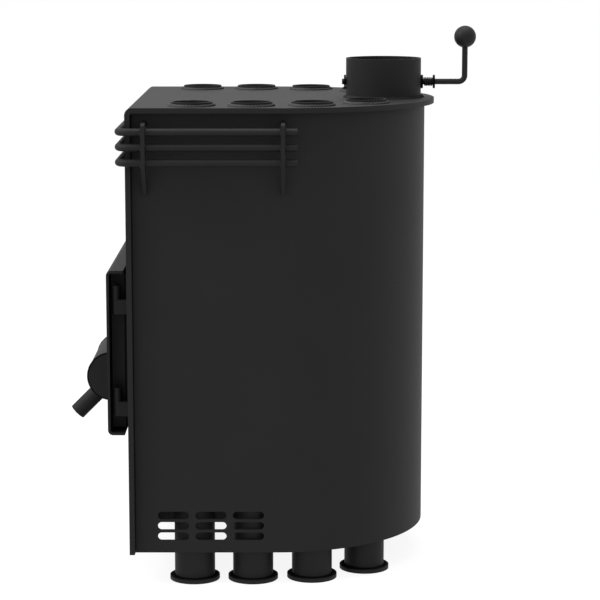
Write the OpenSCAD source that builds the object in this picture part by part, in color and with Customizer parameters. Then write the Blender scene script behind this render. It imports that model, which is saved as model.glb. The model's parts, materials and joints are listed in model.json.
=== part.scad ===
// Convection wood stove with eight upright air tubes, a drying rack and a damped flue collar.
// Millimetres. +Z is up, the door faces -Y, and the origin is the bottom centre of the overall box.

/* [Body] */
// Thickness of the bent front and top panel
panel_t = 8; // [6:0.5:10]
// Inside radius of the bend between front and top
bend_in_r = 3; // [1:0.5:8]
// Height of the hot top above the floor
top_z = 740; // [640:1:820]
// Height of the lower edge of the casing above the floor
base_z = 51.5; // [35:0.5:80]
// Half width of the casing, and radius of its rounded back
casing_r = 236; // [226:1:280]
// Sheet thickness of the casing
casing_t = 3; // [1.5:0.5:4]
// From the front face to the centre of the rounded back
round_y = 226.1; // [200:0.1:280]
// Overhang of the top beyond the casing
top_overhang = 15; // [6:1:24]

/* [Air slots] */
// Length of one slot
slot_len = 48; // [30:1:52]
// Height of one slot
slot_h = 12; // [6:1:14]
// Columns of slots on each side
slot_cols = 3; // [1:1:3]
// Rows of slots on each side
slot_rows = 3; // [1:1:3]
// From the front face to the first slot centre
slot_y = 67; // [55:1:80]
// Spacing of the columns
slot_col_pitch = 58; // [54:1:62]
// From the lower edge of the casing to the first slot centre
slot_z = 26; // [20:0.5:34]
// Spacing of the rows
slot_row_pitch = 16.5; // [15:0.5:18]

/* [Convection tubes] */
// Outer diameter of a tube
tube_d = 63; // [48:0.5:66]
// Wall of a tube
tube_t = 3; // [2:0.5:5]
// Gap between the tubes and the casing
tube_gap = 5.5; // [3:0.5:8]
// From the front face to the first tube
tube_y = 98; // [80:1:105]
// Spacing of the first two tubes
tube_pitch = 91.2; // [80:0.1:95]
// Angle of the third tube round the back
third_angle = 16.35; // [15:0.05:18]
// Angle of the fourth tube round the back
fourth_angle = 45; // [43:1:50]
// Height of an outlet above the hot top
outlet_h = 6; // [3:0.5:20]
// Diameter of a foot ring
foot_d = 78; // [70:0.1:90]
// Thickness of a foot ring
foot_t = 6; // [4:0.5:10]
// Leg of the weld beads round the tubes
tube_bead = 3.5; // [2:0.5:6]
// Height of an air inlet in the tube foot
inlet_h = 24; // [12:1:28]
// Width of an air inlet in the tube foot
inlet_w = 18; // [10:1:26]

/* [Firebox] */
// Thickness of the firebox wall strips
wall_t = 3; // [2:0.5:5]
// Air gap between the firebox back and the casing
back_gap = 1; // [0.5:0.5:8]
// Height of the firebox above the lower edge of the casing
floor_rise = 40.5; // [38:1:60]
// Thickness of the firebox floor
floor_t = 5; // [3:0.5:8]
// Height of the grate above the firebox floor
grate_rise = 115; // [60:1:130]
// Thickness of the grate
grate_t = 12; // [8:1:16]
// Gap between the grate and the side tubes
grate_side_gap = 14.5; // [4:0.5:30]
// Gap between the grate and the last tubes
grate_back_gap = 7.6; // [3:0.1:9]
// From the front face to the grate
grate_y = 34; // [20:1:45]
// Width of a slot in the grate
grate_slot = 12; // [8:1:16]
// From the hot top's underside down to the baffle
baffle_drop = 132; // [80:1:180]
// Thickness of the baffle
baffle_t = 6; // [4:1:10]
// Height of the bars under grate and baffle
bar_h = 26; // [15:1:40]
// Thickness of these bars
bar_t = 6; // [4:1:10]

/* [Flue] */
// Outer diameter of the flue collar
flue_d = 120; // [110:1:122]
// Wall of the collar
flue_t = 3; // [2:0.5:5]
// Height of the collar above the hot top
flue_h = 62; // [50:1:120]
// From the firebox back to the bore of the collar
flue_margin = 1.8; // [0:0.1:10]
// Leg of the weld bead round the collar
flue_bead = 4; // [3:0.5:6]

/* [Damper] */
// Diameter of the damper rod
rod_d = 9; // [6:0.5:10]
// Height of the rod above the hot top
rod_z = 24.1; // [20:0.1:30]
// Rod beyond the front washer
rod_stub = 3.3; // [2:0.1:10]
// From the flue's middle to the upright crank
crank_y = 130; // [115:1:160]
// Centreline radius of the crank's bend
crank_r = 10; // [8:1:16]
// Height of the crank, rod centre to knob centre
crank_h = 71.5; // [50:0.5:100]
// Diameter of the ball knob
knob_d = 35; // [25:1:40]
// Diameter of the washers
washer_d = 21.6; // [18:0.1:26]
// Thickness of the washers
washer_t = 2.8; // [1:0.1:3]
// Diameter of the spring wire
wire_d = 2.2; // [1:0.1:2.3]
// Turns of the spring
spring_turns = 5; // [3:1:5]
// Length of the spring between its washers
spring_len = 16; // [16:1:24]
// Thickness of the damper disc
disc_t = 3; // [2:0.5:4]
// Gap between damper disc and collar
disc_gap = 1.2; // [0.8:0.1:3]

/* [Drying rack] */
// Diameter of a rail
rail_d = 11.4; // [8:0.1:12]
// From the hot top down to the upper rail
rail_drop = 34.6; // [27:0.1:60]
// Spacing of the rails
rail_pitch = 22.9; // [18:0.1:26]
// From the casing to the rails' centre line
rail_off = 32; // [28:1:40]
// From the front face to the front run's centre line
rail_front = 8.8; // [8:0.1:20]
// Bend radius of the rail corners
rail_bend = 16; // [12:1:30]
// From the front face to the rail ends
rail_end = 259; // [250:1:300]
// Thickness of a rack bracket
bracket_t = 6; // [4:0.5:8]
// From the front face to the front bracket
bracket_front_y = 29; // [26:1:60]
// From the front face to the rear bracket
bracket_rear_y = 237.5; // [215:0.5:240]
// Bracket steel outside the rail
bracket_rim = 11; // [9:1:14]
// From the lower rail down to the bracket's foot
bracket_leg = 52.1; // [30:0.1:80]
// Diameter of the hole that a bracket hooks into
hook_hole_d = 8.4; // [7:0.1:12]
// Leg of the welds on the rack
rack_bead = 2; // [1:0.5:3]

/* [Door] */
// From the side edge of the front to the door cover
door_side = 51; // [41:1:61]
// Height of the door cover's lower edge
door_z = 229.1; // [220:0.1:240]
// Height of the door cover
door_h = 258.1; // [240:0.1:280]
// Sheet thickness of the cover
cover_t = 4.2; // [2:0.1:5]
// Depth of the cover
cover_depth = 26.2; // [24:0.1:28]
// Gap behind the cover
cover_gap = 9.1; // [9:0.1:11]
// Outside radius of the cover's bends
cover_bend = 8; // [5:0.5:10]
// Gap above and below the inner door, inside the cover
inner_gap = 2.8; // [2:0.1:6]
// Sheet thickness of the inner door
inner_t = 4; // [3:0.5:5]
// Gap between cover and inner door
skin_gap = 1.5; // [1:0.1:4]
// Thickness of the rope gasket
rope_d = 14; // [10:1:14]
// Outer rim of the inner door beyond the rope
rim_lap = 2; // [0:0.1:5]
// Width of the sealing frame on the front
frame_w = 6; // [4:1:8]

/* [Hinges and latch] */
// From the cover's open edge to the hinge axis
hinge_inset = 11; // [9:0.5:13]
// Gap between a hinge barrel and the cover
hinge_gap = 3.8; // [2:0.1:5]
// Length of the lug between a barrel and the inner door
lug_len = 17; // [14:0.5:24]
// Outer diameter of a hinge barrel
barrel_d = 13.6; // [12:0.1:14]
// Height of a hinge barrel
barrel_h = 21.6; // [18:0.1:30]
// Diameter of a hinge pin
pin_d = 8; // [6:0.5:8]
// Width of a hinge block
block_w = 13; // [11:0.5:13]
// Height of a hinge block
block_h = 22.4; // [18:0.1:30]
// From the cover's lower edge up to the lower hinge block
lower_hinge = 29.3; // [20:0.1:40]
// From the cover's upper edge down to the foot of the upper hinge block
upper_hinge = 68.4; // [60:0.1:90]
// Gap between the latch bush and the inner door
latch_gap = 6; // [3:0.5:8]
// Diameter of the latch shaft
latch_d = 10; // [8:1:12]
// Reach of the latch tongue
tongue_len = 36; // [32:1:40]
// Thickness of the latch tongue
tongue_t = 5; // [4:0.5:5]
// Length of the latch lever
lever_len = 80; // [60:1:90]
// Diameter of the latch grip
latch_grip_d = 22; // [16:1:25]
// Length of the latch grip
latch_grip_len = 24; // [20:1:24]

/* [Air regulator] */
// Outer diameter of the regulator drum
drum_d = 77; // [70:0.5:80]
// Length of the drum
drum_len = 178; // [150:1:200]
// Wall of the drum
drum_t = 3; // [2:0.5:4]
// From the front face to the drum's axis
drum_out = 38.3; // [37:0.1:40]
// From the cover's lower edge up to the drum's axis
drum_rise = 71.3; // [60:0.1:80]
// Wall of the turning shutter
shutter_t = 3; // [2:0.5:4]
// Angle that the shutter opens
air_travel = 35; // [20:1:38]
// Diameter of the handle
handle_d = 27; // [18:0.5:28]
// Reach of the handle from the drum's axis
handle_reach = 99.5; // [80:0.5:120]
// Offset of the handle below the drum's axis
handle_drop = 9; // [4:0.5:10]
// Angle of the shut handle below level
handle_angle = 45; // [42:1:48]

/* [Hidden] */
$fn = 64;

// Fits
weld_fit = 0.1;
turn_fit = 0.05;
face_gap = 0.3;
rail_fit = 0.15;
baffle_gap = 2;

// Heights and main derived places
top_under_z = top_z - panel_t;
bend_r = bend_in_r + panel_t;
panel_half_w = casing_r + top_overhang;
casing_h = top_under_z - base_z;
tube_r = tube_d / 2;
tube_line = casing_r - casing_t - tube_gap - tube_r;
fire_out_r = tube_line + wall_t / 2;
fire_in_r = tube_line - wall_t / 2;
fire_round_y = round_y + casing_r - casing_t - back_gap - fire_out_r;
floor_z = base_z + floor_rise;
grate_z = floor_z + floor_t + grate_rise;
baffle_z = top_under_z - baffle_drop;

// Tubes: [side position, depth], listed for the left half
TUBES = [
    [tube_line, tube_y],
    [tube_line, tube_y + tube_pitch],
    [tube_line * cos(third_angle), round_y + tube_line * sin(third_angle)],
    [tube_line * cos(fourth_angle), round_y + tube_line * sin(fourth_angle)]
];

// Damper
flue_r = flue_d / 2;
flue_in_r = flue_r - flue_t;
flue_y = fire_round_y + fire_in_r - flue_margin - flue_in_r;
axis_z = top_z + rod_z;
rod_r = rod_d / 2;
crank_pos = flue_y + crank_y;
inner_washer_y = flue_y + flue_r + face_gap;
spring_y = inner_washer_y + washer_t + face_gap;
outer_washer_y = spring_y + spring_len;
front_washer_y = flue_y - flue_r - face_gap - washer_t;
rod_front_y = front_washer_y - rod_stub;
spring_r = rod_r + 0.4 + wire_d / 2;

// Rack
rail_x = casing_r + rail_off;
rail_z = top_z - rail_drop;
bracket_foot_z = rail_z - 2 * rail_pitch - bracket_leg;
bracket_out_x = rail_x + bracket_rim;
hook_z = rail_z + rail_d / 2 + 4.7;
RAIL_Z = [rail_z, rail_z - rail_pitch, rail_z - 2 * rail_pitch];

// Door
door_half_w = panel_half_w - door_side;
inner_h = door_h - 2 * (cover_t + inner_gap);
hinge_x = door_half_w - hinge_inset;
inner_half_w = hinge_x - lug_len;
cover_back = -cover_gap;
cover_front = cover_back - cover_depth;
inner_front = cover_front + cover_t + skin_gap;
door_mid_z = door_z + door_h / 2;
inner_z = door_mid_z - inner_h / 2;
rope_back = inner_front + inner_t + rope_d;
rim_back = rope_back - 1.5;
outer_rim_back = rope_back + rim_lap;
seal_in = inner_t + rope_d / 2 + 0.2;
seal_half_w = inner_half_w - seal_in;
seal_half_h = inner_h / 2 - seal_in;
open_half_w = seal_half_w - frame_w / 2;
open_half_h = seal_half_h - frame_w / 2;
hinge_out = -(cover_front + cover_t) - hinge_gap - barrel_d / 2;
BLOCK_Z = [door_z + lower_hinge, door_z + door_h - upper_hinge];
lug_x = inner_half_w;

// Latch
tongue_front = cover_back + 0.6;
lever_back = cover_front - 0.5;
lever_t = 6;
hub_d = 26;
bush_d = latch_d + 6;
latch_x = inner_half_w + latch_gap + bush_d / 2;
latch_z = door_mid_z;
keeper_t = 5;
keeper_gap = 0.9;

// Air regulator
drum_z = door_z + drum_rise;
drum_r = drum_d / 2;
shutter_r = drum_r - drum_t - 0.5;
hub_r = 6;
axle_r = 4;
handle_r = handle_d / 2;
slot_from = handle_angle + asin((handle_drop - handle_r) / (drum_r - drum_t)) - air_travel - 2;
slot_to = handle_angle + asin((handle_drop + handle_r) / (drum_r - drum_t)) + 2;
shutter_from = slot_from - 3;
shutter_to = slot_to + 3;
port_half_h = 30;
port_half_w = drum_len / 2 + weld_fit;
inner_port_h = 44;
inner_port_w = 14;
inner_port_pitch = 26;

// The overall box is centred between the handle's end and the back of the knob
handle_end_y = -drum_out - handle_reach * cos(handle_angle) + handle_drop * sin(handle_angle);
box_front = handle_end_y - handle_r * sin(handle_angle);
box_back = crank_pos + knob_d / 2;
front_y = -(box_front + box_back) / 2;

// Shared helpers: everything is drawn from the front face, then moved to the box centre
module placed() { translate([0, front_y, 0]) children(); }
module mirrored_x() { children(); mirror([1, 0, 0]) children(); }
module along_y(y, x = 0, z = 0) { translate([x, y, z]) rotate([-90, 0, 0]) children(); }
module along_x(x, y = 0, z = 0) { translate([x, y, z]) rotate([0, 90, 0]) children(); }
module ring(r_out, r_in, h) {
    difference() {
        cylinder(r = r_out, h = h);
        translate([0, 0, -1]) cylinder(r = r_in, h = h + 2);
    }
}
module bead(r, leg) { rotate_extrude($fn = 96) polygon([[r, 0], [r + leg, 0], [r, leg]]); }
module stadium_prism(len, h, depth) {
    cube([len - h, depth, h], center = true);
    for (s = [-1, 1]) translate([s * (len - h) / 2, 0, 0]) rotate([90, 0, 0])
        cylinder(r = h / 2, h = depth, center = true, $fn = 32);
}
module all_tubes(r, z0, z1) {
    mirrored_x() for (t = TUBES) translate([t[0], t[1], z0]) cylinder(r = r, h = z1 - z0);
}

// Plan of a shell: straight sides, then a half circle at the back
module round_plan(r, centre_y, from_y) {
    translate([-r, from_y]) square([2 * r, centre_y - from_y]);
    intersection() {
        translate([0, centre_y]) circle(r = r, $fn = 160);
        translate([-r, centre_y - 0.01]) square([2 * r, r + 1]);
    }
}

// The upper front corner of a sheet that stands inside the panel's bend
module bend_notch() {
    r = bend_in_r + 2 * face_gap;
    translate([-panel_half_w, panel_t, top_under_z]) difference() {
        translate([0, -1, -r]) cube([2 * panel_half_w, r + 1, r + 1]);
        along_x(-1, r, -r) cylinder(r = r, h = 2 * panel_half_w + 2, $fn = 48);
    }
}

// Bent panel: the front with the bend, then the hot top that goes on behind it
module bend_profile() {
    translate([0, base_z]) square([panel_t, top_z - bend_r - base_z]);
    translate([bend_r, top_z - bend_r]) intersection() {
        difference() { circle(r = bend_r); circle(r = bend_in_r); }
        translate([-bend_r, 0]) square(bend_r);
    }
}
module front_panel() {
    color([0.16, 0.16, 0.16]) placed() difference() {
        translate([-panel_half_w, 0, 0]) rotate([90, 0, 90]) linear_extrude(2 * panel_half_w) bend_profile();
        translate([-open_half_w, -1, door_mid_z - open_half_h])
            cube([2 * open_half_w, panel_t + 2, 2 * open_half_h]);
    }
}
module top_panel() {
    color([0.16, 0.16, 0.16]) placed() difference() {
        translate([0, 0, top_under_z]) linear_extrude(panel_t) round_plan(panel_half_w, round_y, bend_r);
        all_tubes(tube_r + weld_fit, top_under_z - 1, top_z + 1);
        translate([0, flue_y, top_under_z - 1]) cylinder(r = flue_in_r, h = panel_t + 2);
    }
}

// Casing with its air slots and the four holes for the rack
module casing() {
    color([0.17, 0.17, 0.17]) placed() difference() {
        translate([0, 0, base_z]) linear_extrude(casing_h) difference() {
            round_plan(casing_r, round_y, panel_t);
            round_plan(casing_r - casing_t, round_y, panel_t - 1);
        }
        for (c = [0 : slot_cols - 1], r = [0 : slot_rows - 1])
            translate([0, slot_y + c * slot_col_pitch, base_z + slot_z + r * slot_row_pitch])
                rotate([0, 0, 90]) stadium_prism(slot_len, slot_h, 2 * casing_r + 2);
        for (y = [bracket_front_y, bracket_rear_y])
            along_x(-casing_r - 1, y, hook_z) cylinder(r = hook_hole_d / 2, h = 2 * casing_r + 2, $fn = 32);
        bend_notch();
    }
}

// Firebox: wall strips welded between the tubes, and a floor let in round them
module firebox_wall() {
    color([0.13, 0.13, 0.13]) placed() difference() {
        translate([0, 0, floor_z]) linear_extrude(top_under_z - floor_z) difference() {
            round_plan(fire_out_r, fire_round_y, panel_t);
            round_plan(fire_in_r, fire_round_y, panel_t - 1);
        }
        all_tubes(tube_r + weld_fit, floor_z - 1, top_under_z + 1);
        bend_notch();
    }
}
module firebox_floor() {
    color([0.13, 0.13, 0.13]) placed() difference() {
        translate([0, 0, floor_z]) linear_extrude(floor_t) round_plan(fire_in_r, fire_round_y, panel_t);
        all_tubes(tube_r + weld_fit, floor_z - 1, floor_z + floor_t + 1);
    }
}

// Cross bars that carry the grate and the baffle
bar_front_y = grate_y + 16;
bar_mid_y = tube_y + tube_pitch / 2;
bar_rear_y = (TUBES[2][1] + TUBES[3][1]) / 2;
grate_half_w = tube_line - tube_r - grate_side_gap;
grate_len = TUBES[3][1] - tube_r - grate_back_gap - grate_y;
function bar_half(y) = y < fire_round_y
    ? fire_in_r
    : sqrt(pow(fire_in_r, 2) - pow(y + bar_t / 2 - fire_round_y, 2));
module cross_bar(y, z) { translate([-bar_half(y), y - bar_t / 2, z]) cube([2 * bar_half(y), bar_t, bar_h]); }
module grate_bars() {
    color([0.13, 0.13, 0.13]) placed() for (y = [bar_front_y, bar_mid_y, bar_rear_y])
        cross_bar(y, grate_z - grate_t - bar_h);
}
module baffle_bars() {
    color([0.13, 0.13, 0.13]) placed() for (y = [bar_mid_y, bar_rear_y]) cross_bar(y, baffle_z - bar_h);
}

// Cast grate with two rows of slots
grate_cols = 10;
module grate() {
    slot_run = (grate_len - 3 * 22) / 2;
    step = 2 * (grate_half_w - 14) / grate_cols;
    color([0.10, 0.10, 0.10]) placed() difference() {
        translate([-grate_half_w, grate_y, grate_z - grate_t]) cube([2 * grate_half_w, grate_len, grate_t]);
        for (i = [0 : grate_cols - 1], j = [0, 1])
            translate([(i + 0.5) * step - grate_half_w + 14, grate_y + 22 + slot_run / 2, grate_z - grate_t / 2])
                translate([0, j * (slot_run + 22), 0]) rotate([90, 0, 90])
                    stadium_prism(slot_run, grate_slot, grate_t + 2);
    }
}

// Baffle plate that sends the flames forward under the hot top
module baffle() {
    color([0.13, 0.13, 0.13]) placed() difference() {
        translate([0, 0, baffle_z]) linear_extrude(baffle_t)
            round_plan(fire_in_r - baffle_gap, fire_round_y, tube_y + 2 * tube_r / 3);
        all_tubes(tube_r + baffle_gap, baffle_z - 1, baffle_z + baffle_t + 1);
    }
}

// One convection tube: it stands on the floor, takes in air under the firebox and ends above the hot top
module convection_tube(side, i) {
    x = side * TUBES[i][0];
    y = TUBES[i][1];
    inward = side > 0 ? 180 : 0;
    color([0.15, 0.15, 0.15]) placed() translate([x, y, 0]) difference() {
        ring(tube_r, tube_r - tube_t, top_z + outlet_h);
        rotate([0, 0, inward - 90]) translate([0, tube_r / 2 + 2, (base_z + floor_z) / 2 - 6])
            rotate([0, -90, 0]) stadium_prism(inlet_h, inlet_w, tube_r);
    }
}
module foot_rings() {
    color([0.15, 0.15, 0.15]) placed() mirrored_x()
        for (t = TUBES) translate([t[0], t[1], 0]) ring(foot_d / 2, tube_r + weld_fit, foot_t);
}
module foot_beads() {
    color([0.20, 0.20, 0.20]) placed() mirrored_x()
        for (t = TUBES) translate([t[0], t[1], foot_t]) bead(tube_r + weld_fit, tube_bead - 1);
}
module outlet_beads() {
    color([0.20, 0.20, 0.20]) placed() mirrored_x()
        for (t = TUBES) translate([t[0], t[1], top_z]) bead(tube_r + weld_fit, tube_bead);
}

// Flue collar, drilled for the damper rod
module flue_collar() {
    color([0.16, 0.16, 0.16]) placed() difference() {
        translate([0, flue_y, top_z]) ring(flue_r, flue_in_r, flue_h, $fn = 128);
        along_y(flue_y - flue_r - 1, 0, axis_z) cylinder(r = rod_r + turn_fit, h = flue_d + 2);
    }
}
module flue_bead_ring() {
    color([0.20, 0.20, 0.20]) placed() translate([0, flue_y, top_z]) bead(flue_r + weld_fit, flue_bead);
}

// Damper: a cranked rod through the collar with a disc under it
module damper_rod() {
    color([0.18, 0.18, 0.18]) placed() {
        along_y(rod_front_y, 0, axis_z) cylinder(r = rod_r, h = crank_pos - crank_r - rod_front_y);
        translate([0, crank_pos - crank_r, axis_z + crank_r]) rotate([90, 0, 90]) rotate([0, 0, -90])
            rotate_extrude(angle = 90) translate([crank_r, 0]) circle(r = rod_r);
        translate([0, crank_pos, axis_z + crank_r]) cylinder(r = rod_r, h = crank_h - crank_r);
    }
}
module damper_knob() {
    color([0.14, 0.14, 0.14]) placed() translate([0, crank_pos, axis_z + crank_h]) difference() {
        sphere(d = knob_d, $fn = 96);
        translate([0, 0, -knob_d]) cylinder(r = rod_r + weld_fit, h = knob_d);
    }
}
bolt_d = 5;
bolt_gap_y = 30;
module damper_disc() {
    color([0.13, 0.13, 0.13]) placed() difference() {
        translate([0, flue_y, axis_z - rod_r - disc_t])
            cylinder(r = flue_in_r - disc_gap, h = disc_t, $fn = 128);
        for (s = [-1, 1]) translate([0, flue_y + s * bolt_gap_y, axis_z - rod_r - disc_t - 1])
            cylinder(r = bolt_d / 2 + weld_fit, h = disc_t + 2);
    }
}
module damper_bolts() {
    color([0.2, 0.2, 0.2]) placed() for (s = [-1, 1]) translate([0, flue_y + s * bolt_gap_y, 0]) {
        translate([0, 0, axis_z - rod_r - disc_t - 3.5]) cylinder(r = 4.6, h = 3.5, $fn = 6);
        translate([0, 0, axis_z - rod_r - disc_t]) cylinder(r = bolt_d / 2, h = disc_t);
    }
}
module washer(y, bore_r) {
    color([0.14, 0.14, 0.14]) placed() along_y(y, 0, axis_z) ring(washer_d / 2, bore_r, washer_t);
}
module damper_washer_inner() { washer(inner_washer_y, rod_r + turn_fit); }
module damper_washer_outer() { washer(outer_washer_y, rod_r + weld_fit); }
module damper_washer_front() { washer(front_washer_y, rod_r + weld_fit); }

// Spring: one unbroken wire in even turns, with a short straight end at each washer
RINGS = 8;
SIDES = 6;
spring_rise = (spring_len - wire_d) / spring_turns;
echo(spring_gap = spring_rise - wire_d);
assert(spring_rise - wire_d > 0.4, "the spring's turns touch");
spring_path = concat(
    [[wire_d, -spring_r, wire_d / 2]],
    [for (i = [0 : spring_turns * RINGS])
        let (a = -90 - 360 * i / RINGS)
        [spring_r * cos(a), spring_r * sin(a), wire_d / 2 + spring_rise * i / RINGS]],
    [[-wire_d, -spring_r, spring_len - wire_d / 2]]
);
function unit(v) = v / norm(v);
function path_dir(i) = unit(spring_path[min(i + 1, len(spring_path) - 1)] - spring_path[max(i - 1, 0)]);
function wire_ring(i) =
    let (d = path_dir(i), side = unit(cross(d, [0, 0, 1])), up = cross(side, d))
    [for (k = [0 : SIDES - 1])
        spring_path[i] + wire_d / 2 * (cos(360 * k / SIDES) * side + sin(360 * k / SIDES) * up)];
module damper_spring() {
    n = len(spring_path);
    points = [for (i = [0 : n - 1]) each wire_ring(i)];
    skin = [for (i = [0 : n - 2], k = [0 : SIDES - 1])
        let (a = i * SIDES + k, b = i * SIDES + (k + 1) % SIDES)
        each [[a, b, b + SIDES], [a, b + SIDES, a + SIDES]]];
    e = (n - 1) * SIDES;
    caps = [for (k = [1 : SIDES - 2]) each [[0, k + 1, k], [e, e + k, e + k + 1]]];
    color([0.22, 0.22, 0.22]) placed() along_y(spring_y, 0, axis_z) polyhedron(points, concat(skin, caps));
}

// Drying rack: three bent rails threaded through four plate brackets
module rail(z) {
    bend_x = rail_x - rail_bend;
    bend_y = -rail_front + rail_bend;
    color([0.17, 0.17, 0.17]) placed() translate([0, 0, z]) {
        along_x(-bend_x, -rail_front) cylinder(r = rail_d / 2, h = 2 * bend_x);
        mirrored_x() {
            translate([bend_x, bend_y, 0]) rotate([0, 0, -90])
                rotate_extrude(angle = 90) translate([rail_bend, 0]) circle(r = rail_d / 2);
            along_y(bend_y, rail_x) cylinder(r = rail_d / 2, h = rail_end - bend_y);
        }
    }
}
module bracket_profile() {
    tip_x = casing_r - casing_t - 5;
    half = 2.9;
    inner_x = rail_x - bracket_rim;
    foot_x = casing_r + face_gap;
    low_z = RAIL_Z[2] - rail_d / 2;
    polygon([
        [tip_x, hook_z - half], [inner_x, hook_z - half], [inner_x, low_z - 4],
        [foot_x, bracket_foot_z + 9], [foot_x, bracket_foot_z], [foot_x + 4, bracket_foot_z],
        [bracket_out_x, low_z], [bracket_out_x, hook_z + half - 3], [bracket_out_x - 3, hook_z + half],
        [tip_x, hook_z + half]
    ]);
}
module bracket(side, y) {
    color([0.17, 0.17, 0.17]) placed() mirror([side < 0 ? 1 : 0, 0, 0]) difference() {
        translate([0, y + bracket_t / 2, 0]) rotate([90, 0, 0]) linear_extrude(bracket_t) bracket_profile();
        for (z = RAIL_Z) along_y(y - bracket_t, rail_x, z)
            cylinder(r = rail_d / 2 + rail_fit, h = 2 * bracket_t);
    }
}
module rack_beads() {
    color([0.2, 0.2, 0.2]) placed() mirrored_x()
        for (y = [bracket_front_y, bracket_rear_y], z = RAIL_Z, s = [-1, 1])
            translate([rail_x, y + s * bracket_t / 2, z]) rotate([-90 * s, 0, 0])
                bead(rail_d / 2 + rail_fit, rack_bead, $fn = 48);
}

// Sealing frame on the front, and the fixed halves of the hinges
module door_frame() {
    depth = -rope_back - face_gap;
    color([0.15, 0.15, 0.15]) placed() translate([0, 0, door_mid_z]) difference() {
        translate([-seal_half_w - frame_w / 2, -depth, -seal_half_h - frame_w / 2])
            cube([2 * seal_half_w + frame_w, depth, 2 * seal_half_h + frame_w]);
        translate([-open_half_w, -depth - 1, -open_half_h]) cube([2 * open_half_w, depth + 2, 2 * open_half_h]);
    }
}
pin_up = barrel_h - 6;
pin_down = 14;
module hinge_blocks() {
    color([0.15, 0.15, 0.15]) placed() for (z = BLOCK_Z) difference() {
        union() {
            translate([hinge_x - block_w / 2, -hinge_out, z]) cube([block_w, hinge_out, block_h]);
            translate([hinge_x, -hinge_out, z]) cylinder(r = block_w / 2, h = block_h);
        }
        translate([hinge_x, -hinge_out, z + block_h - pin_down])
            cylinder(r = pin_d / 2 + turn_fit, h = pin_down + 1);
    }
}
module hinge_pins() {
    color([0.25, 0.25, 0.25]) placed() for (z = BLOCK_Z)
        translate([hinge_x, -hinge_out, z + block_h - pin_down]) cylinder(r = pin_d / 2, h = pin_down + pin_up);
}
module latch_keeper() {
    lip_back = tongue_front - keeper_gap;
    lip_front = lip_back - keeper_t;
    riser_x = latch_x + tongue_len + 4;
    color([0.15, 0.15, 0.15]) placed() translate([0, 0, latch_z - 11]) {
        translate([-riser_x - 18, -keeper_t, 0]) cube([18, keeper_t, 22]);
        translate([-riser_x - keeper_t, lip_front, 0]) cube([keeper_t, -lip_front, 22]);
        translate([-riser_x, lip_front, 0]) cube([14, keeper_t, 22]);
    }
}

// Door cover: a folded tray, open on the hinge side
module cover_side_profile() {
    r = cover_bend;
    d = cover_depth;
    h = door_h;
    translate([r, 0]) square([d - r, h]);
    translate([0, r]) square([d, h - 2 * r]);
    for (z = [r, h - r]) translate([r, z]) circle(r = r);
}
module cover_inner_profile() {
    r = cover_bend - cover_t;
    d = cover_depth;
    h = door_h - 2 * cover_t;
    translate([cover_t + r, cover_t]) square([d, h]);
    translate([cover_t, cover_t + r]) square([d, h - 2 * r]);
    for (z = [r, h - r]) translate([cover_t + r, cover_t + z]) circle(r = r);
}
module door_cover() {
    color([0.15, 0.15, 0.15]) placed() difference() {
        translate([-door_half_w, cover_front, door_z]) rotate([90, 0, 90])
            linear_extrude(2 * door_half_w) cover_side_profile();
        translate([-door_half_w + cover_t, cover_front, door_z]) rotate([90, 0, 90])
            linear_extrude(2 * door_half_w) cover_inner_profile();
        translate([-port_half_w, cover_front - 1, drum_z - port_half_h])
            cube([2 * port_half_w, cover_t + 2, 2 * port_half_h]);
        along_y(cover_front - 1, -latch_x, latch_z) cylinder(r = latch_d / 2 + turn_fit, h = cover_t + 2);
    }
}

// Inner door: a tray whose rims hold the rope gasket
module rect_ring(half_w, half_h, t, y0, y1) {
    translate([0, 0, door_mid_z]) difference() {
        translate([-half_w, y0, -half_h]) cube([2 * half_w, y1 - y0, 2 * half_h]);
        translate([-half_w + t, y0 - 1, -half_h + t]) cube([2 * (half_w - t), y1 - y0 + 2, 2 * (half_h - t)]);
    }
}
rope_slack = 0.2;
channel_in_w = inner_half_w - inner_t - rope_d - 2 * rope_slack;
channel_in_h = inner_h / 2 - inner_t - rope_d - 2 * rope_slack;
module door_inner() {
    color([0.14, 0.14, 0.14]) placed() difference() {
        union() {
            translate([-inner_half_w, inner_front, inner_z]) cube([2 * inner_half_w, inner_t, inner_h]);
            rect_ring(inner_half_w, inner_h / 2, inner_t, inner_front + inner_t, outer_rim_back);
            rect_ring(channel_in_w, channel_in_h, inner_t, inner_front + inner_t, rim_back);
        }
        for (i = [-2.5 : 2.5]) translate([i * inner_port_pitch, inner_front + inner_t / 2, drum_z])
            rotate([0, 90, 0]) stadium_prism(inner_port_h, inner_port_w, inner_t + 2);
    }
}
module door_gasket() {
    color([0.35, 0.34, 0.32]) placed()
        rect_ring(inner_half_w - inner_t - rope_slack, inner_h / 2 - inner_t - rope_slack,
            rope_d, inner_front + inner_t, rope_back);
}
module door_spacers() {
    color([0.2, 0.2, 0.2]) placed() {
        difference() {
            translate([-port_half_w - 8, inner_front - skin_gap, drum_z - port_half_h - 8])
                cube([2 * port_half_w + 16, skin_gap, 2 * port_half_h + 16]);
            translate([-port_half_w, inner_front - skin_gap - 1, drum_z - port_half_h])
                cube([2 * port_half_w, skin_gap + 2, 2 * port_half_h]);
        }
        for (x = [-1, 1], z = [-1, 1])
            along_y(inner_front - skin_gap, x * (inner_half_w - 24), door_mid_z + z * (inner_h / 2 - 20))
                cylinder(r = 8, h = skin_gap);
    }
}
module hinge_barrels() {
    color([0.14, 0.14, 0.14]) placed() for (z = BLOCK_Z)
        translate([0, 0, z + block_h + face_gap]) difference() {
            union() {
                translate([hinge_x, -hinge_out, 0]) cylinder(r = barrel_d / 2, h = barrel_h);
                translate([lug_x, -hinge_out - 3, 0]) cube([hinge_x - lug_x, 6, barrel_h]);
            }
            translate([hinge_x, -hinge_out, -1]) cylinder(r = pin_d / 2 + turn_fit, h = pin_up + 2);
        }
}

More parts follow.
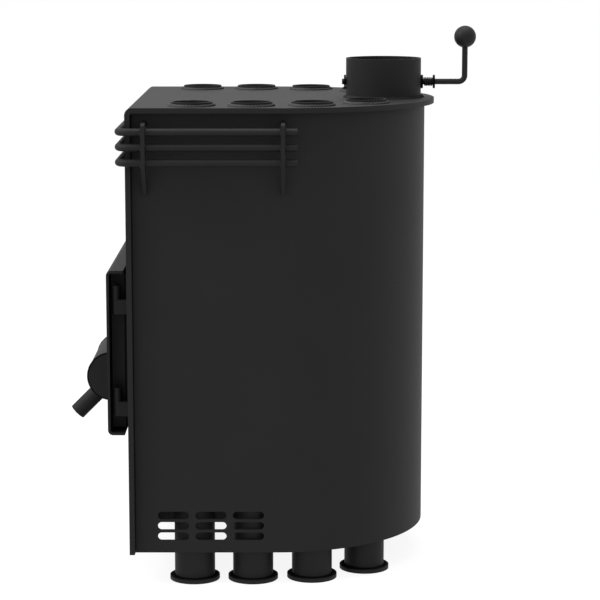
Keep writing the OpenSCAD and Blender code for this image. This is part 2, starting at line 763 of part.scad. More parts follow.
// Air regulator: a half drum on the cover, a turning shutter inside it and its handle
module wedge(r, a0, a1, h) {
    far = 2 * r;
    linear_extrude(h, center = true) polygon(concat([[0, 0]], [for (k = [0 : 4])
        let (a = a0 + (a1 - a0) * k / 4) [far * cos(a), far * sin(a)]]));
}
// Turned so that angle 0 looks forward, along -Y, and angles grow downwards
module drum_frame() { translate([0, -drum_out, drum_z]) rotate([0, 90, 0]) rotate([0, 0, -90]) children(); }
module drum_plan(r, back) {
    circle(r = r, $fn = 96);
    translate([-back, -r]) square([back, 2 * r]);
}
module drum_side() {
    intersection() {
        drum_plan(drum_r, drum_back);
        translate([-drum_back, -drum_r]) square([drum_back + drum_r, drum_d]);
    }
}
drum_back = drum_out + cover_front;
module drum_housing() {
    body_len = drum_len - 2 * drum_t;
    color([0.15, 0.15, 0.15]) placed() drum_frame() difference() {
        linear_extrude(body_len, center = true) difference() {
            drum_side();
            drum_plan(drum_r - drum_t, drum_back + 1);
            translate([-drum_d, -drum_r + drum_t]) square([drum_d, drum_d - 2 * drum_t]);
        }
        wedge(drum_r, slot_from, slot_to, handle_d + 3);
        for (s = [-1, 1]) translate([0, 0, s * (body_len / 4 + 7)])
            wedge(drum_r, slot_to - 20, slot_to, body_len / 2 - 34);
    }
}
module drum_caps() {
    color([0.15, 0.15, 0.15]) placed() drum_frame() for (s = [-1, 1])
        translate([0, 0, s * (drum_len - drum_t) / 2]) linear_extrude(drum_t, center = true) difference() {
            union() {
                drum_side();
                translate([-drum_back - cover_t, -port_half_h + weld_fit])
                    square([cover_t + 1, 2 * (port_half_h - weld_fit)]);
            }
            circle(r = axle_r + turn_fit);
        }
}
module air_shutter() {
    half = drum_len / 2 - drum_t - face_gap;
    color([0.13, 0.13, 0.13]) placed() drum_frame() {
        difference() {
            cylinder(r = shutter_r, h = 2 * half, center = true, $fn = 96);
            cylinder(r = shutter_r - shutter_t, h = 2 * half - 6, center = true, $fn = 96);
            wedge(drum_r, shutter_to, 180, 2 * half + 2);
            wedge(drum_r, 180, 270, 2 * half + 2);
            wedge(drum_r, 270, 360 + shutter_from, 2 * half + 2);
        }
        for (s = [-1, 1]) {
            translate([0, 0, s * (half - 1.5)]) cylinder(r = hub_r, h = 3, center = true);
            translate([0, 0, s * (half + drum_t / 2)]) cylinder(r = axle_r, h = drum_t + 0.2, center = true);
        }
    }
}
module air_handle() {
    root = sqrt(pow(shutter_r - shutter_t / 2, 2) - pow(handle_drop + handle_r, 2));
    color([0.16, 0.16, 0.16]) placed() drum_frame() rotate([0, 0, handle_angle]) difference() {
        translate([0, handle_drop, 0]) rotate([0, 90, 0]) cylinder(r = handle_r, h = handle_reach);
        cylinder(r = shutter_r + weld_fit, h = drum_len, center = true, $fn = 96);
    }
}

// Latch: a shaft through the cover with a lever in front and a tongue behind
module latch_bush() {
    color([0.15, 0.15, 0.15]) placed() along_y(cover_front + cover_t, -latch_x, latch_z)
        ring(bush_d / 2, latch_d / 2 + turn_fit, cover_depth - cover_t - 0.4);
}
module latch_shaft() {
    color([0.2, 0.2, 0.2]) placed() along_y(lever_back - lever_t - 2, -latch_x, latch_z)
        cylinder(r = latch_d / 2, h = tongue_front + tongue_t - lever_back + lever_t + 2);
}
module latch_lever() {
    color([0.15, 0.15, 0.15]) placed() translate([-latch_x, lever_back, latch_z]) difference() {
        union() {
            rotate([90, 0, 0]) cylinder(r = hub_d / 2, h = lever_t);
            translate([-hub_d / 2 + 2, -lever_t, -lever_len]) cube([hub_d - 4, lever_t, lever_len]);
            translate([0, 0, -lever_len]) rotate([90, 0, 0]) cylinder(r = hub_d / 2 - 2, h = lever_t);
            translate([0, -lever_t, -lever_len]) rotate([90, 0, 0])
                cylinder(r = latch_grip_d / 2, h = latch_grip_len);
        }
        rotate([90, 0, 0]) translate([0, 0, -1]) cylinder(r = latch_d / 2 + weld_fit, h = lever_t + 2);
    }
}
module latch_tongue() {
    color([0.15, 0.15, 0.15]) placed() translate([-latch_x, tongue_front, latch_z]) difference() {
        union() {
            rotate([-90, 0, 0]) cylinder(r = 9, h = tongue_t);
            translate([-8, 0, -tongue_len]) cube([16, tongue_t, tongue_len]);
        }
        rotate([-90, 0, 0]) translate([0, 0, -1]) cylinder(r = latch_d / 2 + weld_fit, h = tongue_t + 2);
    }
}

front_panel();
top_panel();
casing();
firebox_wall();
firebox_floor();
grate();
grate_bars();
baffle();
baffle_bars();
for (i = [0 : 3]) {
    convection_tube(-1, i);
    convection_tube(1, i);
}
foot_rings();
foot_beads();
outlet_beads();
flue_collar();
flue_bead_ring();
damper_rod();
damper_disc();
damper_bolts();
damper_knob();
damper_spring();
damper_washer_inner();
damper_washer_outer();
damper_washer_front();
rail(RAIL_Z[0]);  // rail_upper
rail(RAIL_Z[1]);  // rail_middle
rail(RAIL_Z[2]);  // rail_lower
bracket(-1, bracket_front_y);  // bracket_left_front
bracket(-1, bracket_rear_y);  // bracket_left_rear
bracket(1, bracket_front_y);  // bracket_right_front
bracket(1, bracket_rear_y);  // bracket_right_rear
rack_beads();
door_frame();
hinge_blocks();
hinge_pins();
latch_keeper();
door_cover();
door_inner();
door_gasket();
door_spacers();
hinge_barrels();
drum_housing();
drum_caps();
air_shutter();
air_handle();
latch_bush();
latch_shaft();
latch_lever();
latch_tongue();
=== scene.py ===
"""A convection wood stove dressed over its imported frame. Metres, +Z up, the door faces -Y."""
import json
import math

import bpy
import numpy as np
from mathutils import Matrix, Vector


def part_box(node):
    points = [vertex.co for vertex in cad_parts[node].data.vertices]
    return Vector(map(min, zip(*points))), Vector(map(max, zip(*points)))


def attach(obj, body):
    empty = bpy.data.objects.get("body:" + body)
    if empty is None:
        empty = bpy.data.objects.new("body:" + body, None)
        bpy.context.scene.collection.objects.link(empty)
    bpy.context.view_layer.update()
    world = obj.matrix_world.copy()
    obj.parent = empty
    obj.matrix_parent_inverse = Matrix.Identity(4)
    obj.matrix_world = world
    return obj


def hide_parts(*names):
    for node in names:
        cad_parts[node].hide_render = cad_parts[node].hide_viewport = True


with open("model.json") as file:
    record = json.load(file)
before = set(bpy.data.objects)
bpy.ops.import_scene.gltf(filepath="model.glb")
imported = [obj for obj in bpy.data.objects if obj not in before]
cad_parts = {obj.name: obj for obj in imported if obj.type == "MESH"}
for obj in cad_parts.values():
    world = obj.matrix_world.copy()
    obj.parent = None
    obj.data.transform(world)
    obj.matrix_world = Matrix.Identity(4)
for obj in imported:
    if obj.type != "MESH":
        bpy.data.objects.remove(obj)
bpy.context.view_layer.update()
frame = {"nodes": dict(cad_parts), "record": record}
nodes = frame["nodes"]

MM = 0.001
TURN = 2 * math.pi
SIDES = (("left", -1), ("right", 1))


# Where the pieces sit, read from the frame

def corners(node):
    """The lowest and the highest corner of a node's box."""
    low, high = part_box(node)
    return np.array(low), np.array(high)


def centre(node):
    """The middle of a node's box."""
    low, high = corners(node)
    return (low + high) / 2


def top(node):
    """The height of a node's upper face."""
    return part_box(node)[1][2]


# Materials

def set_inputs(node, inputs):
    """Links the inputs that are given a socket, and sets the ones that are given a value."""
    for key, value in inputs.items():
        if isinstance(value, bpy.types.NodeSocket):
            node.id_data.links.new(value, node.inputs[key])
        else:
            node.inputs[key].default_value = value


def shader(name):
    """A new material's Principled shader, a function that adds a node to it, and the place on the piece."""
    material = bpy.data.materials.new(name)
    material.use_nodes = True
    tree = material.node_tree

    def add(kind, inputs, **settings):
        made = tree.nodes.new(kind)
        for key, value in settings.items():
            setattr(made, key, value)
        set_inputs(made, inputs)
        return made

    place = add("ShaderNodeTexCoord", {}).outputs["Object"]
    return material, tree.nodes["Principled BSDF"], add, place


def noise(add, place, scale, detail=3.0, rough=0.5):
    """A value between 0 and 1 that wanders over the piece, scale cycles to the metre."""
    inputs = {"Vector": place, "Scale": scale, "Detail": detail, "Roughness": rough}
    return add("ShaderNodeTexNoise", inputs).outputs["Fac"]


def total(add, first, second):
    """The sum of two values."""
    return add("ShaderNodeMath", {0: first, 1: second}, operation="ADD").outputs[0]


def spread(add, value, low, high, start=0.3, end=0.7):
    """Stretches a value from start..end to low..high."""
    inputs = {"Value": value, "From Min": start, "From Max": end, "To Min": low, "To Max": high}
    return add("ShaderNodeMapRange", inputs).outputs["Result"]


def tint(add, value, dark, light):
    """Blends two colours by a value."""
    inputs = {"Factor": value, 6: (*dark, 1), 7: (*light, 1)}
    return add("ShaderNodeMix", inputs, data_type="RGBA").outputs[2]


def relief(add, height, strength, depth):
    """The normal of a surface that a height between 0 and 1 lifts by a depth."""
    inputs = {"Height": height, "Strength": strength, "Distance": depth}
    return add("ShaderNodeBump", inputs).outputs["Normal"]


def coated_steel(name, dark, light, rough, grain, specular):
    """Matte stove paint on steel: a fine pebbled film with slow changes of tone and sheen."""
    material, surface, add, place = shader(name)
    slow = noise(add, place, 9.0, 2.0)
    cloud = noise(add, place, 60.0, 4.0, 0.6)
    pebble = noise(add, place, 1500.0, 2.0, 0.6)
    tone = spread(add, total(add, slow, cloud), 0.0, 1.0, 0.7, 1.3)
    film = total(add, pebble, spread(add, cloud, 0.0, 0.12))
    set_inputs(surface, {
        "Base Color": tint(add, tone, dark, light),
        "Roughness": spread(add, cloud, rough - 0.015, rough + 0.015),
        "Normal": relief(add, film, grain, 0.25 * MM),
        "Specular IOR Level": specular,
    })
    return material


def cast_iron(name, dark, light):
    """Sand cast iron: dark, rough and pitted."""
    material, surface, add, place = shader(name)
    sand = noise(add, place, 700.0, 4.0, 0.7)
    stain = noise(add, place, 25.0, 3.0)
    set_inputs(surface, {
        "Base Color": tint(add, spread(add, stain, 0, 1), dark, light),
        "Roughness": 0.75,
        "Normal": relief(add, sand, 0.5, 0.6 * MM),
        "Specular IOR Level": 0.4,
    })
    return material


def bare_steel(name, dark, light):
    """Turned steel dulled by heat."""
    material, surface, add, place = shader(name)
    stain = noise(add, place, 90.0, 3.0)
    scratch = noise(add, place, 2500.0, 2.0)
    set_inputs(surface, {
        "Base Color": tint(add, spread(add, stain, 0, 1), dark, light),
        "Roughness": spread(add, scratch, 0.32, 0.5),
        "Normal": relief(add, scratch, 0.15, 0.1 * MM),
        "Metallic": 0.85,
    })
    return material


def resin(name, dark, light):
    """Moulded black resin: smooth with a soft sheen."""
    material, surface, add, place = shader(name)
    haze = noise(add, place, 120.0, 3.0)
    set_inputs(surface, {
        "Base Color": tint(add, spread(add, haze, 0, 1), dark, light),
        "Roughness": spread(add, haze, 0.50, 0.56),
        "Specular IOR Level": 0.18,
    })
    return material


def glass_rope(name, dark, light):
    """Grey knitted glass rope with patches of soot."""
    material, surface, add, place = shader(name)
    fibre = noise(add, place, 1200.0, 3.0)
    soot = noise(add, place, 45.0, 3.0)
    set_inputs(surface, {
        "Base Color": tint(add, spread(add, soot, 0, 1), dark, light),
        "Roughness": 0.92,
        "Normal": relief(add, fibre, 0.5, 0.4 * MM),
    })
    return material


PAINT = coated_steel("matte_black_paint", (0.0062, 0.0062, 0.0063), (0.0079, 0.0079, 0.0081),
                     rough=0.63, grain=0.30, specular=0.226)
# A lighter grey than the paint: a painted highlight that makes the weld beads catch more light.
WELD_HIGHLIGHT = coated_steel("weld_painted_highlight", (0.016, 0.016, 0.016), (0.024, 0.024, 0.024),
                    rough=0.50, grain=0.12, specular=0.30)
# Near black and dull: painted shade, so that the seams, the foot welds and the damper's washers read as dark
# shadowed lines.
SHADE_BLACK = coated_steel("painted_shade_black", (0.0015, 0.0015, 0.0015), (0.003, 0.003, 0.003),
                    rough=0.80, grain=0.10, specular=0.07)
IRON = cast_iron("cast_grate_iron", (0.022, 0.021, 0.020), (0.045, 0.041, 0.038))
STEEL = bare_steel("heat_dulled_steel", (0.05, 0.05, 0.055), (0.14, 0.13, 0.12))
SPRING = bare_steel("blued_spring_steel", (0.012, 0.012, 0.013), (0.03, 0.03, 0.031))
RESIN = resin("knob_resin", (0.0085, 0.0085, 0.0086), (0.0105, 0.0105, 0.0106))
ROPE = glass_rope("glass_rope", (0.10, 0.095, 0.09), (0.34, 0.33, 0.31))
FINISH = {
    "steel_paint": PAINT,
    "weld_paint": WELD_HIGHLIGHT,
    "cast_iron": IRON,
    "plain_steel": STEEL,
    "knob_black": RESIN,
    "rope": ROPE,
}


def dress(made, material):
    """Puts one material on every face of a piece."""
    slots = made.data.materials
    if len(slots) == 0:
        slots.append(material)
    for i in range(len(slots)):
        slots[i] = material


for part in frame["record"]["subparts"]:
    dress(nodes[part["node"]], FINISH[part["material_slot"]])
# The damper's washers take the near-black painted shade and read as dark lines.
for place in ("inner", "outer", "front"):
    dress(nodes[f"damper_washer_{place}"], SHADE_BLACK)


# Surfaces

def piece(name, surface, material, slot, body, *replaced):
    """Makes a smooth mesh from a surface's points and faces, ties it to its body, and hides the CAD nodes
    that it replaces.
    """
    points, faces = surface
    mesh = bpy.data.meshes.new(name)
    mesh.from_pydata(points.tolist(), [], [f if isinstance(f, list) else f.tolist() for f in faces])
    mesh.polygons.foreach_set("use_smooth", np.full(len(mesh.polygons), True))
    mesh.update()
    made = bpy.data.objects.new(name, mesh)
    bpy.context.scene.collection.objects.link(made)
    dress(made, material)
    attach(made, body)
    if replaced:
        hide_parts(*replaced)


def grid_faces(rows, cols, wrap_rows=True):
    """Quads of a grid of points whose columns close on themselves, and whose rows may."""
    r = np.arange(rows if wrap_rows else rows - 1)
    a, b = np.meshgrid(r, np.arange(cols), indexing="ij")
    next_a, next_b = (a + 1) % rows, (b + 1) % cols
    quads = [a * cols + b, next_a * cols + b, next_a * cols + next_b, a * cols + next_b]
    return np.stack(quads, -1).reshape(-1, 4)


def turned(points, axis):
    """Turns points from +Z to a row axis, given as +Y, -Y or +Z, without mirroring them."""
    x, y, z = points[:, 0], points[:, 1], points[:, 2]
    if axis == "+Y":
        return np.stack([x, z, -y], -1)
    if axis == "-Y":
        return np.stack([x, -z, y], -1)
    return points


def joined(surfaces):
    """Joins several surfaces, each a pair of points and faces, into one."""
    points, faces, first = [], [], 0
    for p, f in surfaces:
        points.append(p)
        faces.append(f + first)
        first += len(p)
    return np.concatenate(points), np.concatenate(faces)


def circle(count):
    """The cosines and the sines of evenly spaced angles round a circle, each as one row."""
    a = np.arange(count) * TURN / count
    return np.cos(a)[None, :], np.sin(a)[None, :]


def carried(path, across, profile_out, profile_side):
    """Carries a closed profile along an open or closed path.

    Each ring stands square to the path. Its points lie out along across cross path, and aside along
    across, by the two arrays, which give one row for each point of the path."""
    closed = bool(np.allclose(path[0], path[-1]))
    line = path[:-1] if closed else path
    if closed:
        step = np.roll(line, -1, 0) - np.roll(line, 1, 0)
    else:
        step = np.gradient(line, axis=0)
    step /= np.linalg.norm(step, axis=1)[:, None]
    side = np.broadcast_to(np.array(across, float), step.shape)
    side = side - (side * step).sum(1)[:, None] * step
    side /= np.linalg.norm(side, axis=1)[:, None]
    out = np.cross(step, side)
    rings = (line[:, None, :] + profile_out[: len(line), :, None] * out[:, None, :]
             + profile_side[: len(line), :, None] * side[:, None, :])
    rows, cols = rings.shape[:2]
    points = rings.reshape(-1, 3)
    faces = grid_faces(rows, cols, wrap_rows=closed)
    if not closed:
        points = np.concatenate([points, line[:1], line[-1:]])
        k = np.arange(cols)
        n = (k + 1) % cols
        far = (rows - 1) * cols
        near_cap = np.stack([k, n, np.full(cols, len(points) - 2)], -1)
        far_cap = np.stack([far + n, far + k, np.full(cols, len(points) - 1)], -1)
        faces = faces.tolist() + near_cap.tolist() + far_cap.tolist()
    return points, faces


def ripples(phase, across):
    """The skin of a weld bead: stacked scales.

    Each scale rises steeply as a square root over a sixth of the phase and then sinks as the power of
    one and a half, like scales that lie on each other. The scales bow back in the bead's middle because
    the phase is delayed there by a sine of the place across."""
    saw = (phase + 0.4 * np.sin(np.pi * across)) % 1.0
    rise = 1 / 6
    sunk = np.maximum((saw - rise) / (1 - rise), 0) ** 1.5
    return np.where(saw < rise, np.sqrt(saw / rise), 1 - sunk)


SCALE_ROWS = 8  # rows of points along one scale of a fillet weld


def weld_ring(middle, axis, radius, bead, seed):
    """A fillet weld round a tube.

    The point at angle u round the tube and v across the bead runs from the plate at radius plus width
    up to the tube at the bead's height, on a quarter of an ellipse that the scales lift. Two slow sines
    of u vary its size."""
    width, height, pitch = bead
    count = int(round(TURN * (radius + width / 2) / pitch))
    steps = count * SCALE_ROWS
    u, v = np.meshgrid(np.arange(steps) * TURN / steps, np.linspace(0, 1, 8), indexing="ij")
    slow = 1 + 0.06 * np.sin(3 * u + seed) + 0.04 * np.sin(7 * u + 2.3 * seed)
    lift = 0.42 + 0.66 * ripples(count * u / TURN + 0.37 * seed, v)
    angle = v * math.pi / 2
    out = width * slow * np.cos(angle) * lift
    up = height * slow * np.sin(angle) * lift
    out[:, -1] = 0
    up[:, 0] = 0
    r = radius + out
    skin = np.stack([r * np.cos(u), r * np.sin(u), up], -1)
    u = u[:, :1]
    root = np.stack([radius * np.cos(u), radius * np.sin(u), np.zeros_like(u)], -1)
    grid = np.concatenate([skin, root], 1)
    rows, cols = grid.shape[:2]
    return turned(grid.reshape(-1, 3), axis) + np.array(middle), grid_faces(rows, cols)


def weld_line(start, end, along_plate, up_wall, bead, seed):
    """A straight fillet weld in the corner of two plates.

    The point at share t of the line and v across the bead runs from the plate, at the width, to the
    wall, at the height, on a quarter of an ellipse that the scales lift. Two slow sines of t vary its
    size. Its two ends are closed flat."""
    start, end = np.array(start, float), np.array(end, float)
    along_plate, up_wall = np.array(along_plate, float), np.array(up_wall, float)
    width, height, pitch = bead
    count = int(round(np.linalg.norm(end - start) / pitch))
    t, v = np.meshgrid(np.linspace(0, 1, count * SCALE_ROWS + 1), np.linspace(0, 1, 6), indexing="ij")
    slow = 1 + 0.08 * np.sin(23 * t + seed) + 0.05 * np.sin(57 * t + 2.3 * seed)
    lift = (0.62 + 0.45 * ripples(count * t + 0.37 * seed, v)) * slow
    out = width * np.cos(v * math.pi / 2) * lift
    up = height * np.sin(v * math.pi / 2) * lift
    out[:, -1] = 0
    up[:, 0] = 0
    line = start + t[..., None] * (end - start)
    skin = line + out[..., None] * along_plate + up[..., None] * up_wall
    grid = np.concatenate([skin, line[:, :1]], 1)
    rows, cols = grid.shape[:2]
    faces = grid_faces(rows, cols, wrap_rows=False)
    last = (rows - 1) * cols
    caps = [list(range(cols)), list(range(last + cols - 1, last - 1, -1))]
    if np.dot(np.cross(along_plate, up_wall), end - start) > 0:
        faces = faces[:, ::-1]
        caps = [cap[::-1] for cap in caps]
    return grid.reshape(-1, 3), faces.tolist() + caps


# Fillet welds: the width on the plate, the height up the tube or wall, and the length of one scale

OUTLET_BEAD = (4.6 * MM, 3.4 * MM, 4.8 * MM)
FOOT_BEAD = (3.2 * MM, 2.0 * MM, 3.6 * MM)
FLUE_BEAD = (4.6 * MM, 3.2 * MM, 5.0 * MM)
RACK_BEAD = (2.0 * MM, 1.8 * MM, 2.4 * MM)
CORNER_BEAD = (1.2 * MM, 1.3 * MM, 3.8 * MM)

# Welds round the eight tubes at the hot top and at the feet, and round the flue collar

TUBES = [centre(f"tube_{side}_{i}") for side, _ in SIDES for i in (1, 2, 3, 4)]
TUBE_LOW, TUBE_HIGH = corners("tube_left_1")
TUBE_R = (TUBE_HIGH[0] - TUBE_LOW[0]) / 2
PLATE_TOP = top("top_panel")
FOOT_TOP = top("foot_rings")
OUTLET_SEED, FOOT_SEED, FLUE_SEED = 0, 9, 4.0
COLLAR = centre("flue_collar")
COLLAR_LOW, COLLAR_HIGH = corners("flue_collar")
COLLAR_R = (COLLAR_HIGH[1] - COLLAR_LOW[1]) / 2


def tube_welds(height, bead, first_seed):
    """One ring of weld round each tube at a height."""
    return joined([weld_ring((tube[0], tube[1], height), "+Z", TUBE_R, bead, first_seed + i)
                   for i, tube in enumerate(TUBES)])


outlet_welds = tube_welds(PLATE_TOP, OUTLET_BEAD, OUTLET_SEED)
foot_welds = tube_welds(FOOT_TOP, FOOT_BEAD, FOOT_SEED)
flue_weld = weld_ring((COLLAR[0], COLLAR[1], PLATE_TOP), "+Z", COLLAR_R, FLUE_BEAD, FLUE_SEED)
# The outlet welds take the lighter grey, a painted highlight on the beads.
piece("outlet_welds", outlet_welds, WELD_HIGHLIGHT, "weld_paint", "stove", "outlet_beads")
# The foot welds take the near-black painted shade of the dim corner under the casing.
piece("foot_welds", foot_welds, SHADE_BLACK, "weld_paint", "stove", "foot_beads")
piece("flue_weld", flue_weld, PAINT, "weld_paint", "stove", "flue_bead_ring")

# Welds round each rail on both faces of each bracket

RAIL_LOW, RAIL_HIGH = corners("rail_upper")
RAIL_R = (RAIL_HIGH[2] - RAIL_LOW[2]) / 2


def rack_welds():
    """One ring of weld round each rail, in front of and behind each bracket plate."""
    rings = []
    for side, s in SIDES:
        for place in ("front", "rear"):
            plate_low, plate_high = corners(f"bracket_{side}_{place}")
            for level in ("upper", "middle", "lower"):
                low, high = corners(f"rail_{level}")
                x = s * (high[0] - RAIL_R)
                z = (low[2] + high[2]) / 2
                for y, axis in ((plate_high[1], "+Y"), (plate_low[1], "-Y")):
                    rings.append(weld_ring((x, y, z), axis, RAIL_R, RACK_BEAD, len(rings)))
    return joined(rings)


piece("rack_welds", rack_welds(), PAINT, "weld_paint", "stove", "rack_beads")

# Weld seams up the two corners where the casing meets the back of the front

CASING_LOW, CASING_HIGH = corners("casing")
SEAM_FOOT = CASING_LOW[2] + 2 * MM
SEAM_HEAD = CASING_HIGH[2] - 4 * MM
# The seams are painted near black: painted shade in the corners beside the front.
for side, s in SIDES:
    x = CASING_HIGH[0] if s > 0 else CASING_LOW[0]
    y = CASING_LOW[1]
    seam = weld_line((x, y, SEAM_FOOT), (x, y, SEAM_HEAD), (s, 0, 0), (0, 1, 0), CORNER_BEAD, s + 3.0)
    piece(f"corner_seam_{side}", seam, SHADE_BLACK, "weld_paint", "stove")

# Weld seams round the rims of the drum's two end plates

DRUM_LOW, DRUM_HIGH = corners("drum_housing")
DRUM_R = (DRUM_HIGH[2] - DRUM_LOW[2]) / 2
DRUM_Z = (DRUM_HIGH[2] + DRUM_LOW[2]) / 2
DRUM_Y = DRUM_LOW[1] + DRUM_R
CAP_LOW, CAP_HIGH = corners("drum_caps")
CAP_SEAM_IN = 0.8 * MM
DRUM_SEAMS = (
    ("right", CAP_HIGH[0] - CAP_SEAM_IN, 1.6 * MM),
    ("left", CAP_LOW[0] + CAP_SEAM_IN, 1.8 * MM),
)


def drum_seam(x, radius, pitch):
    """A thin bead over the drum's edge at x: along the flat top, round the half circle, back along the foot.

    Its profile is an ellipse of the radius, three quarters as high, swollen by the scales on its outer
    half."""
    sunk = DRUM_R - 0.4 * MM
    flat = DRUM_HIGH[1] - DRUM_Y - 0.5 * MM
    length = 2 * flat + math.pi * sunk
    count = int(round(length / pitch))
    place = np.linspace(0, length, count * 6 + 1)
    turn = np.clip((place - flat) / sunk, 0, math.pi)
    back = np.maximum(flat - place, 0) + np.maximum(place - length + flat, 0)
    y = DRUM_Y - sunk * np.sin(turn) + back
    path = np.stack([np.full_like(place, x), y, DRUM_Z + sunk * np.cos(turn)], -1)
    cosine, sine = circle(12)
    swelling = 0.5 * (ripples(count * place / length, 0.5)[:, None] - 0.5)
    size = radius * (1 + swelling * np.clip(cosine, 0, 1))
    return carried(path, (1, 0, 0), size * cosine * 0.75, size * sine)


# The seams are painted near black: painted shade along the drum's rims.
for side, x, radius in DRUM_SEAMS:
    piece(f"drum_seam_{side}", drum_seam(x, radius, 3.2 * MM), SHADE_BLACK, "weld_paint", "door")

# The damper's spring

SPRING_LOW, SPRING_HIGH = corners("damper_spring")
ROD_Z = centre("damper_washer_outer")[2]


def spring_coil(wire, turns, closed):
    """One round wire wound on a circle about the rod.

    The distance along the rod grows evenly with the angle, slowly in the closed turns at each end, where
    each turn moves on by a little more than the wire's thickness, and faster in the open turns between."""
    radius = (SPRING_HIGH[0] - SPRING_LOW[0]) / 2 - wire / 2
    closed_pitch = wire * 1.02
    all_turns = turns + 2 * closed
    t = np.linspace(0, all_turns, int(all_turns * 40) + 1)
    open_share = np.clip((t - closed) / turns, 0, 1)
    length = SPRING_HIGH[1] - SPRING_LOW[1] - wire
    flat = closed_pitch * (np.minimum(t, closed) + np.maximum(t - all_turns + closed, 0))
    along = SPRING_LOW[1] + wire / 2 + flat + open_share * (length - 2 * closed * closed_pitch)
    path = np.stack([radius * np.cos(TURN * t), along, ROD_Z + radius * np.sin(TURN * t)], -1)
    cosine, sine = circle(12)
    thickness = np.full((len(t), 1), wire / 2)
    return carried(path, (0, 1, 0), thickness * cosine, thickness * sine)


piece("spring_wire", spring_coil(2.2 * MM, 4.2, 0.5), SPRING, "plain_steel", "damper", "damper_spring")

# The rope gasket in the door's channel

ROPE_LOW, ROPE_HIGH = corners("door_gasket")
ROPE_WEAVE = 9.0 * MM
ROPE_STRANDS = 6
ROPE_BENDS = ((1, 1), (1, -1), (-1, -1), (-1, 1))  # the corner at the end of each straight run
ROPE_AHEAD = ((1, 0), (0, -1), (-1, 0), (0, 1))  # the way that each straight run goes


def braided_rope(corner):
    """A round rope laid in a rounded rectangle, its seam closed.

    The radius is lifted where strands of two opposite helices cross on top: the greater of two sines,
    one of the place along plus the angle round, one of the place along less that angle, both taken
    without sign and to the power of 0.7."""
    r = (ROPE_HIGH[1] - ROPE_LOW[1]) / 2
    half_w = (ROPE_HIGH[0] - ROPE_LOW[0]) / 2 - r
    half_h = (ROPE_HIGH[2] - ROPE_LOW[2]) / 2 - r
    middle = (ROPE_LOW + ROPE_HIGH) / 2
    runs = [2 * (half_w - corner), 2 * (half_h - corner)] * 2
    bend = corner * math.pi / 2
    length = sum(runs) + 4 * bend
    waves = int(round(length / ROPE_WEAVE))
    place = np.linspace(0, length, waves * 9 + 1)
    x, z = np.zeros_like(place), np.zeros_like(place)
    start = 0.0
    for run, (sx, sz), ahead in zip(runs, ROPE_BENDS, ROPE_AHEAD):
        here = np.clip(place - start, 0, run)
        turn = np.clip((place - start - run) / corner, 0, math.pi / 2)
        mask = (place >= start) & (place <= start + run + bend + 1e-9)
        outward = (-ahead[1], ahead[0])
        bx = sx * (half_w - corner) + corner * (outward[0] * np.cos(turn) + ahead[0] * np.sin(turn))
        bz = sz * (half_h - corner) + corner * (outward[1] * np.cos(turn) + ahead[1] * np.sin(turn))
        back = np.where(turn > 0, 0, run - here)
        x = np.where(mask, bx - ahead[0] * back, x)
        z = np.where(mask, bz - ahead[1] * back, z)
        start += run + bend
    path = np.stack([middle[0] + x, np.full_like(place, middle[1]), middle[2] + z], -1)
    path[-1] = path[0]
    angles = np.arange(36) * TURN / 36
    along, around = np.meshgrid(waves * place / length, angles, indexing="ij")
    one = np.abs(np.sin(math.pi * along + ROPE_STRANDS * around / 2)) ** 0.7
    two = np.abs(np.sin(math.pi * along - ROPE_STRANDS * around / 2)) ** 0.7
    size = r * (0.88 + 0.10 * np.maximum(one, two))
    return carried(path, (0, 1, 0), size * np.cos(around), size * np.sin(around))


piece("gasket_rope", braided_rope(16 * MM), ROPE, "rope", "door", "door_gasket")

# Camera at the photograph's place

PICTURE_PIXELS = 600
FOCAL_PIXELS = 2177.95
SENSOR_MM = 36.0
EYE_X = 3.5017
EYE_BEHIND_FRONT = 0.2626
EYE_Z = 0.9826
LOOKS_DOWN = math.radians(9.30)

scene = bpy.context.scene
camera = bpy.data.cameras.new("camera")
camera.sensor_width = SENSOR_MM
camera.lens = FOCAL_PIXELS / PICTURE_PIXELS * SENSOR_MM
camera.clip_start = 0.05
camera.clip_end = 60.0
eye = bpy.data.objects.new("camera", camera)
eye.location = (EYE_X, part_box("front_panel")[0][1] + EYE_BEHIND_FRONT, EYE_Z)
eye.rotation_euler = (math.radians(90) - LOOKS_DOWN, 0, math.radians(90))
scene.collection.objects.link(eye)
scene.camera = eye


# Background, floor and light

ROOM_LIGHT = 0.68
FLOOR_REACH = 30
FLOOR_GLOW = 0.90
FLOOR_SHADOW = 0.15
FLOOR_LIGHT = 0.85


def grey(value):
    """An opaque grey."""
    return (value, value, value, 1)


def light_path_mix(tree, shown, lighting):
    """Shows one shader to the camera, to gloss and through glass, and lights the scene with another."""
    path = tree.nodes.new("ShaderNodeLightPath")
    seen = path.outputs["Is Camera Ray"]
    for other in ("Is Glossy Ray", "Is Transmission Ray"):
        either = tree.nodes.new("ShaderNodeMath")
        either.operation = "MAXIMUM"
        set_inputs(either, {0: seen, 1: path.outputs[other]})
        seen = either.outputs[0]
    mix = tree.nodes.new("ShaderNodeMixShader")
    set_inputs(mix, {0: seen, 1: lighting.outputs[0], 2: shown.outputs[0]})
    return mix.outputs[0]


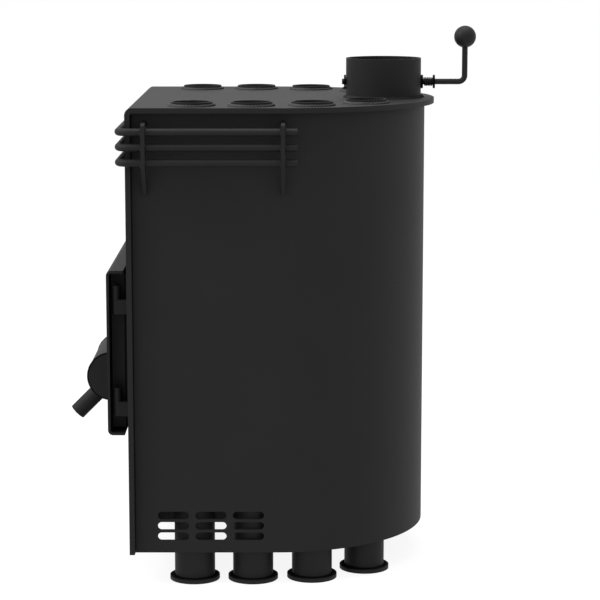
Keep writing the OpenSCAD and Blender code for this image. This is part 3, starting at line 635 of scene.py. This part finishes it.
world = bpy.data.worlds.new("studio")
scene.world = world
world.use_nodes = True
tree = world.node_tree
soft = tree.nodes["Background"]
set_inputs(soft, {"Color": grey(1), "Strength": ROOM_LIGHT})
white = tree.nodes.new("ShaderNodeBackground")
set_inputs(white, {"Color": grey(1), "Strength": 1.0})
set_inputs(tree.nodes["World Output"], {"Surface": light_path_mix(tree, white, soft)})

# The floor that is seen glows nearly white, and its diffuse share takes the stove's faint shadow

floor_corners = [(x * FLOOR_REACH, y * FLOOR_REACH, 0) for x, y in ((-1, -1), (1, -1), (1, 1), (-1, 1))]
floor_mesh = bpy.data.meshes.new("floor")
floor_mesh.from_pydata(floor_corners, [], [(0, 1, 2, 3)])
floor = bpy.data.objects.new("floor", floor_mesh)
scene.collection.objects.link(floor)
ground = bpy.data.materials.new("pale_floor")
ground.use_nodes = True
tree = ground.node_tree
tree.nodes.remove(tree.nodes["Principled BSDF"])
matte = tree.nodes.new("ShaderNodeBsdfDiffuse")
set_inputs(matte, {"Color": grey(FLOOR_SHADOW)})
glow = tree.nodes.new("ShaderNodeEmission")
set_inputs(glow, {"Color": grey(1), "Strength": FLOOR_GLOW})
both = tree.nodes.new("ShaderNodeAddShader")
set_inputs(both, {0: matte.outputs[0], 1: glow.outputs[0]})
pale = tree.nodes.new("ShaderNodeBsdfDiffuse")
set_inputs(pale, {"Color": grey(FLOOR_LIGHT)})
set_inputs(tree.nodes["Material Output"], {"Surface": light_path_mix(tree, both, pale)})
floor_mesh.materials.append(ground)


def softbox(name, place, aim, size, power):
    """A square lamp that looks at a point."""
    lamp = bpy.data.lights.new(name, "AREA")
    lamp.shape = "RECTANGLE"
    lamp.size, lamp.size_y, lamp.energy = size, size, power
    made = bpy.data.objects.new(name, lamp)
    made.location = place
    made.rotation_euler = (Vector(aim) - Vector(place)).to_track_quat("-Z", "Y").to_euler()
    scene.collection.objects.link(made)


softbox("top_light", (0.0, 0.0, 4.0), (0.0, 0.0, 0.0), size=3.0, power=92.0)
softbox("front_light", (0.9, -3.4, 3.4), (0.0, 0.0, 0.45), size=2.0, power=115.0)

scene.view_settings.view_transform = "Standard"
